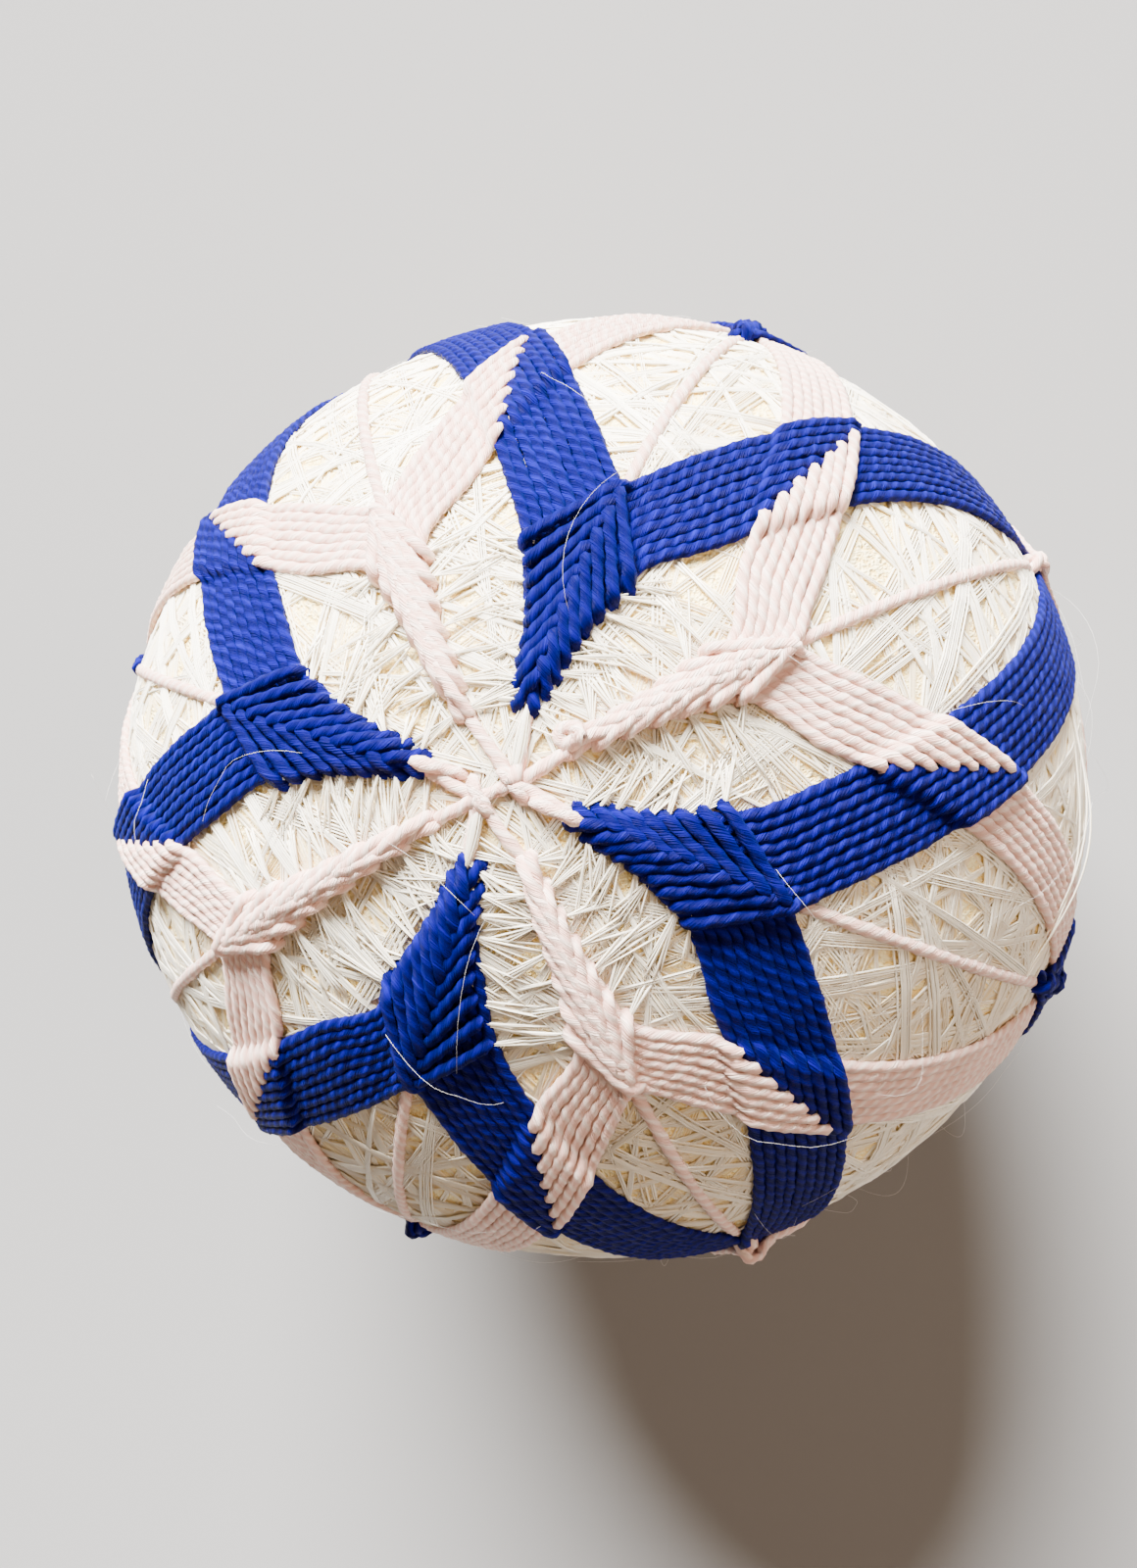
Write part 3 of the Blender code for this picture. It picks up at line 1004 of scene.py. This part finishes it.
def pearl_cotton(name, light, dark, notch_shade, gloss, fuzz):
    made, tree, shader = shader_of(name)
    place = tree.nodes.new("ShaderNodeUVMap")
    place.uv_map = "UVMap"
    fibres = noise_of(tree, place.outputs["UV"], FIBRES, FIBRE_DETAIL)
    body = blend_of(tree, attribute(tree, "shade"), dark, light)
    body = blend_of(tree, ramp(tree, fibres, *FIBRE_EDGES), dark, body)
    # The notch between the plies, where the crown is low, gets the painted shade colour.
    colour = blend_of(tree, ramp(tree, attribute(tree, "crown"), *CROWN_EDGES), notch_shade, body)
    tree.links.new(colour, shader.inputs["Base Color"])
    bumped(tree, shader, fibres, *FIBRE_BUMP)
    shader.inputs["Roughness"].default_value = 0.5
    shader.inputs["Specular IOR Level"].default_value = gloss
    shader.inputs["Sheen Weight"].default_value = 0.06
    shader.inputs["Sheen Roughness"].default_value = 0.5
    shader.inputs["Sheen Tint"].default_value = (*fuzz, 1.0)
    made.diffuse_color = (*light, 1.0)
    return made


blue_cotton = pearl_cotton("blue_pearl_cotton", BLUE_LIGHT, BLUE_DARK, BLUE_NOTCH_SHADE,
                           BLUE_GLOSS, BLUE_FUZZ)
pale_cotton = pearl_cotton("pale_pearl_cotton", PALE_LIGHT, PALE_DARK, PALE_NOTCH_SHADE,
                           PALE_GLOSS, PALE_FUZZ)
print("stitching threads:", blue_cotton.name, pale_cotton.name)

# %% [markdown]
# The wound thread is plain cream sewing cotton. Light goes into it and comes out a little
# further on, which subsurface scattering does. Loose fibres are the same cotton, only whiter.
# Below the laid threads lies a smooth ball that stands for all the deeper turns. It shows only
# in small gaps, so five noises, each drawn out in another direction, are enough for it: the
# highest of them wins at each place, as the topmost thread does, and it also gives the bump. Its
# golden colour, strongest where the noise is low, is painted shade of lying under the threads.

# %% Cream cotton and the layer below it
# The golden low colour is painted shade of threads that lie deep under others; the high one is the
# cream of the thread.
THREAD_DEEP_SHADE, THREAD_HIGH = (0.95, 0.65, 0.20), (0.97, 0.87, 0.68)
# Both colours of the layer below are golden as painted shade of lying deep; the low one, in the
# gaps between streaks, is the most golden.
UNDER_GAP_SHADE, UNDER_HIGH = (0.92, 0.65, 0.20), (0.97, 0.84, 0.46)
FIBRE_DULL, FIBRE_WHITE = (0.80, 0.76, 0.70), (0.95, 0.93, 0.9)
SHADE_EDGES = (0.0, 0.7)
STREAKS, STREAK_DETAIL, STREAK_EDGES = (2600.0, 2600.0, 60.0), 1.0, (0.52, 0.66)
STREAK_BUMP = (1.0, 0.6 * MM)
STREAK_TURNS = (
    # turn of each noise about X, Y and Z, in radians
    (0.3, 0.9, 0.2), (1.3, 0.2, 0.8), (2.2, 1.1, 0.4), (0.8, 2.4, 1.7), (2.9, 0.5, 2.6),
)


def cream_cotton(name):
    made, tree, shader = shader_of(name)
    # The deeper a thread lies, the more of the golden painted shade it gets.
    shade = ramp(tree, attribute(tree, "shade"), *SHADE_EDGES)
    tree.links.new(blend_of(tree, shade, THREAD_DEEP_SHADE, THREAD_HIGH), shader.inputs["Base Color"])
    shader.inputs["Roughness"].default_value = 0.42
    shader.inputs["Subsurface Weight"].default_value = 0.35
    shader.inputs["Subsurface Radius"].default_value = (1.0, 0.8, 0.6)
    shader.inputs["Subsurface Scale"].default_value = 0.6 * MM
    made.diffuse_color = (*THREAD_HIGH, 1.0)
    return made


def loose_fibre(name):
    made, tree, shader = shader_of(name)
    colour = blend_of(tree, attribute(tree, "shade"), FIBRE_DULL, FIBRE_WHITE)
    tree.links.new(colour, shader.inputs["Base Color"])
    shader.inputs["Roughness"].default_value = 0.4
    made.diffuse_color = (*FIBRE_WHITE, 1.0)
    return made


def deeper_turns(name):
    made, tree, shader = shader_of(name)
    place = tree.nodes.new("ShaderNodeTexCoord").outputs["Object"]
    highest = noise_of(tree, place, STREAKS, STREAK_DETAIL, STREAK_TURNS[0])
    for turn in STREAK_TURNS[1:]:
        higher = tree.nodes.new("ShaderNodeMath")
        higher.operation = "MAXIMUM"
        tree.links.new(highest, higher.inputs[0])
        next_noise = noise_of(tree, place, STREAKS, STREAK_DETAIL, turn)
        tree.links.new(next_noise, higher.inputs[1])
        highest = higher.outputs[0]
    # Low places between the streaks get the golden gap colour: painted shade.
    colour = blend_of(tree, ramp(tree, highest, *STREAK_EDGES), UNDER_GAP_SHADE, UNDER_HIGH)
    tree.links.new(colour, shader.inputs["Base Color"])
    bumped(tree, shader, highest, *STREAK_BUMP)
    shader.inputs["Roughness"].default_value = 0.6
    return made


cream = cream_cotton("wound_fine_thread")
whiter = loose_fibre("loose_cotton_fibre")
under_layer = deeper_turns("wound_under_layer")
print("wound threads:", cream.name, whiter.name, under_layer.name)

# %% [markdown]
# The ball of deeper turns starts as an icosphere, because its triangles are even everywhere,
# while those of a UV sphere crowd at the poles. Each vertex is moved to just below the surface
# of the oval ball, and the same pressing as for the threads makes the flat spot it rests on.

# %% The ball under the threads
BALL_SUBDIVISIONS = 6
BALL_HEIGHT = -0.2
bm = bmesh.new()
bmesh.ops.create_icosphere(bm, subdivisions=BALL_SUBDIVISIONS, radius=1.0)
for vertex in bm.verts:
    way = np.array(vertex.co.normalized())[None, :]
    vertex.co = rested(lifted(way, np.array([BALL_HEIGHT])))[0] * MM
ball_mesh = bpy.data.meshes.new("wound_ball")
bm.to_mesh(ball_mesh)
bm.free()
ball_mesh.shade_smooth()
pieces["wound_ball"] = shown_object("wound_ball", ball_mesh)
print("wound_ball", len(ball_mesh.polygons), "triangles")

# %% [markdown]
# Each piece gets its finish and rides on the one body of the part. The ball stands for the solid
# core, and each star for its solid band.
# The guide threads, the wound threads and the fibres are additions that replace nothing.

# %% Finish each piece and put it in the solids' place
FINISHES = {
    # first part of the piece's name: material, slot
    "blue": (blue_cotton, "blue_thread"),
    "pale": (pale_cotton, "pale_thread"),
    "guide": (pale_cotton, "pale_thread"),
    "wound": (cream, "wound_thread"),
    "loose": (whiter, "pale_thread"),
}
for name, piece in pieces.items():
    finish, slot = FINISHES[name.split("_")[0]]
    piece.data.materials.clear()
    piece.data.materials.append(under_layer if name == "wound_ball" else finish)
    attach(piece, "root")
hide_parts("wound_core")
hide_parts("blue_star_upper")
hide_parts("pale_star_upper")
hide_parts("blue_star_lower")
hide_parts("pale_star_lower")
print(len(pieces), "pieces ride on the part")

# %% [markdown]
# The ball stands on a plain pale floor. Soft light from a wide window behind it and to the left
# comes from a sun lamp with a large angle, whose light is even over the whole floor. A warm
# disk on the right keeps the near side from going dark, and the world adds warm room light. The
# Light Path node lets the camera see a neutral pale wall instead of that warm world.

# %% Floor
FLOOR_HALF = 3.0
FLOOR_GREY = (0.215, 0.211, 0.206, 1.0)
bm = bmesh.new()
bmesh.ops.create_grid(bm, x_segments=1, y_segments=1, size=FLOOR_HALF)
floor_mesh = bpy.data.meshes.new("floor")
bm.to_mesh(floor_mesh)
bm.free()
floor_material, _, floor_shader = shader_of("floor")
floor_shader.inputs["Base Color"].default_value = FLOOR_GREY
floor_shader.inputs["Roughness"].default_value = 0.9
floor_mesh.materials.append(floor_material)
shown_object("floor", floor_mesh)
print("floor", 2.0 * FLOOR_HALF, "m wide")

# %% Lamps and the world
MIDDLE = Vector(CENTRE) * MM
WINDOW_AT, WINDOW_STRENGTH, WINDOW_WIDE = (-0.15, 0.62, 0.41), 44.0, 36.0
FILL_AT, FILL_STRENGTH, FILL_SIZE, FILL_COLOUR = (0.46, 0.02, 0.44), 2.7, 0.6, (1.0, 0.80, 0.64)
ROOM_COLOUR, ROOM_STRENGTH = (1.0, 0.74, 0.54, 1.0), 0.3
WALL_COLOUR, WALL_STRENGTH = (1.0, 0.99, 0.98, 1.0), 1.7


def lamp(name, kind, place, strength):
    """A lamp that points at the middle of the ball."""
    made = bpy.data.lights.new(name, kind)
    made.energy = strength
    holder = shown_object(name, made)
    holder.location = place
    holder.rotation_euler = (MIDDLE - Vector(place)).to_track_quat("-Z", "Y").to_euler()
    return made


window = lamp("window", "SUN", WINDOW_AT, WINDOW_STRENGTH)
window.angle = math.radians(WINDOW_WIDE)
fill = lamp("fill", "AREA", FILL_AT, FILL_STRENGTH)
fill.shape = "DISK"
fill.size = FILL_SIZE
fill.color = FILL_COLOUR
world = bpy.data.worlds.new("studio")
world.use_nodes = True
tree = world.node_tree
room = tree.nodes["Background"]
room.inputs["Color"].default_value = ROOM_COLOUR
room.inputs["Strength"].default_value = ROOM_STRENGTH
wall = tree.nodes.new("ShaderNodeBackground")
wall.inputs["Color"].default_value = WALL_COLOUR
wall.inputs["Strength"].default_value = WALL_STRENGTH
rays = tree.nodes.new("ShaderNodeLightPath")
either = tree.nodes.new("ShaderNodeMixShader")
tree.links.new(rays.outputs["Is Camera Ray"], either.inputs["Fac"])
tree.links.new(room.outputs["Background"], either.inputs[1])
tree.links.new(wall.outputs["Background"], either.inputs[2])
tree.links.new(either.outputs["Shader"], tree.nodes["World Output"].inputs["Surface"])
bpy.context.scene.world = world
print("lamps:", window.name, fill.name)

# %% [markdown]
# The camera looks down on the upper pole from close by, a little from the right. Its place is
# given in ball radii from the middle of the ball, because how round the ball looks, and how far
# round its side one can see, depend on that ratio and not on the distance alone.

# %% Camera
CAMERA_AT = Vector((0.5754, -0.0134, 3.4524))
CAMERA_TURN = (0.344, 10.673, 0.0)
LENS, SENSOR, CLIP = 36.44, 36.0, 0.01
lens = bpy.data.cameras.new("camera")
lens.sensor_fit = "VERTICAL"
lens.sensor_height = SENSOR
lens.lens = LENS
lens.clip_start = CLIP
camera = shown_object("camera", lens)
camera.location = MIDDLE + CAMERA_AT * R * MM
camera.rotation_euler = [math.radians(angle) for angle in CAMERA_TURN]
bpy.context.scene.camera = camera
print("camera", round((camera.location - MIDDLE).length / MM), "mm from the middle of the ball")
